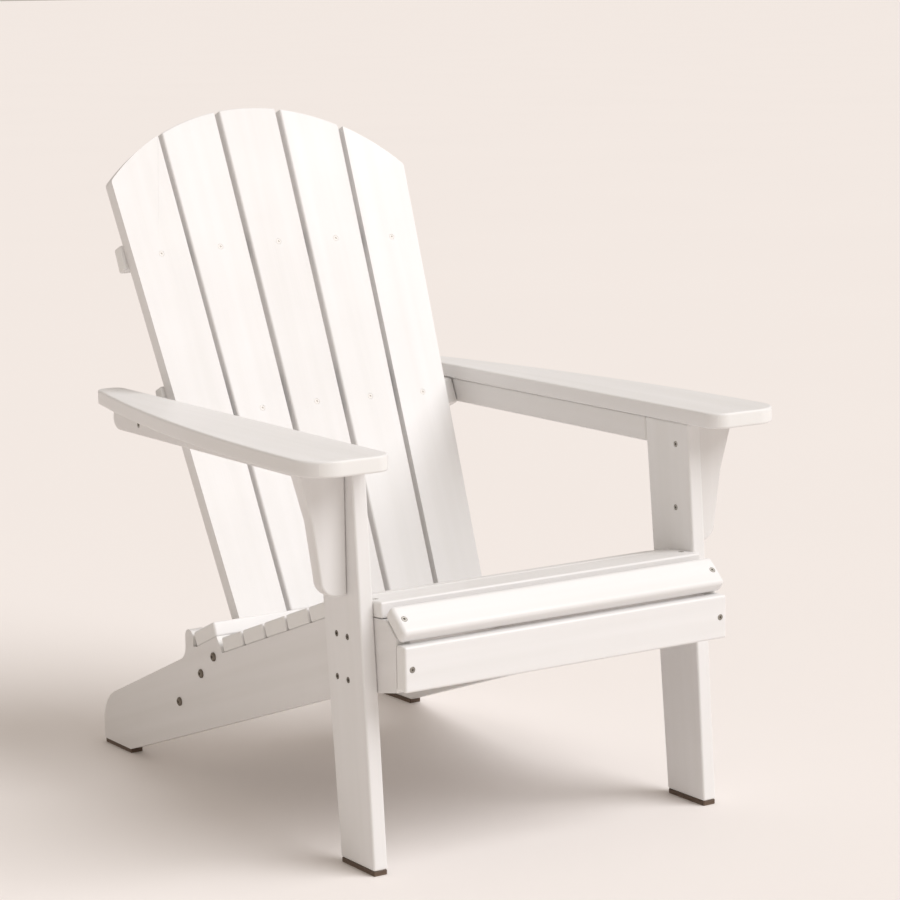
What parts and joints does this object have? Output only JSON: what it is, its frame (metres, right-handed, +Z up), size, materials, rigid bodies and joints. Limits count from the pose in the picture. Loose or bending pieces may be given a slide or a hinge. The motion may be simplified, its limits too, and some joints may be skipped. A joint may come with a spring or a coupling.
{
  "type": "adirondack chair",
  "caption": "Adirondack chair in plastic lumber: sloped slatted seat, fanned arched back, wide flat arms on bracketed front legs and side rails that run down into the rear feet",
  "frame": {"origin": "on the floor, at the middle of the chair's width and depth", "axes": "+Z up, the chair faces -Y, +X is to the right of someone looking at its front"},
  "size_m": [0.77, 0.872, 0.9686],
  "materials": {
    "boards": "white plastic lumber, fine embossed grain, low sheen",
    "screws": "stainless steel, dull",
    "bolts": "stainless steel, darkened",
    "glides": "dark brown moulded plastic"
  },
  "bodies": {
    "root": {"left_side_rail": "boards", "right_side_rail": "boards", "left_front_leg": "boards", "right_front_leg": "boards", "left_arm": "boards", "right_arm": "boards", "left_arm_rail": "boards", "right_arm_rail": "boards", "left_arm_bracket": "boards", "right_arm_bracket": "boards", "front_apron": "boards", "nose_slat": "boards", "seat_slat_1": "boards", "seat_slat_2": "boards", "seat_slat_3": "boards", "seat_slat_4": "boards", "seat_slat_5": "boards", "seat_slat_6": "boards", "seat_slat_7": "boards", "back_slat_1": "boards", "back_slat_2": "boards", "back_slat_3": "boards", "back_slat_4": "boards", "back_slat_5": "boards", "upper_back_brace": "boards", "middle_back_brace": "boards", "back_sill": "boards", "rear_stretcher": "boards", "left_front_glide": "glides", "right_front_glide": "glides", "left_rear_glide": "glides", "right_rear_glide": "glides", "leg_screws": "screws", "seat_screws": "screws", "apron_screws": "screws", "back_slat_screws": "screws", "arm_screws": "screws", "arm_dowels": "boards", "bracket_screws": "screws", "brace_end_screws": "screws", "stretcher_bolts": "bolts", "cross_board": "boards", "sill_screws": "screws", "cross_bolts": "bolts"}
  },
  "joints": []
}
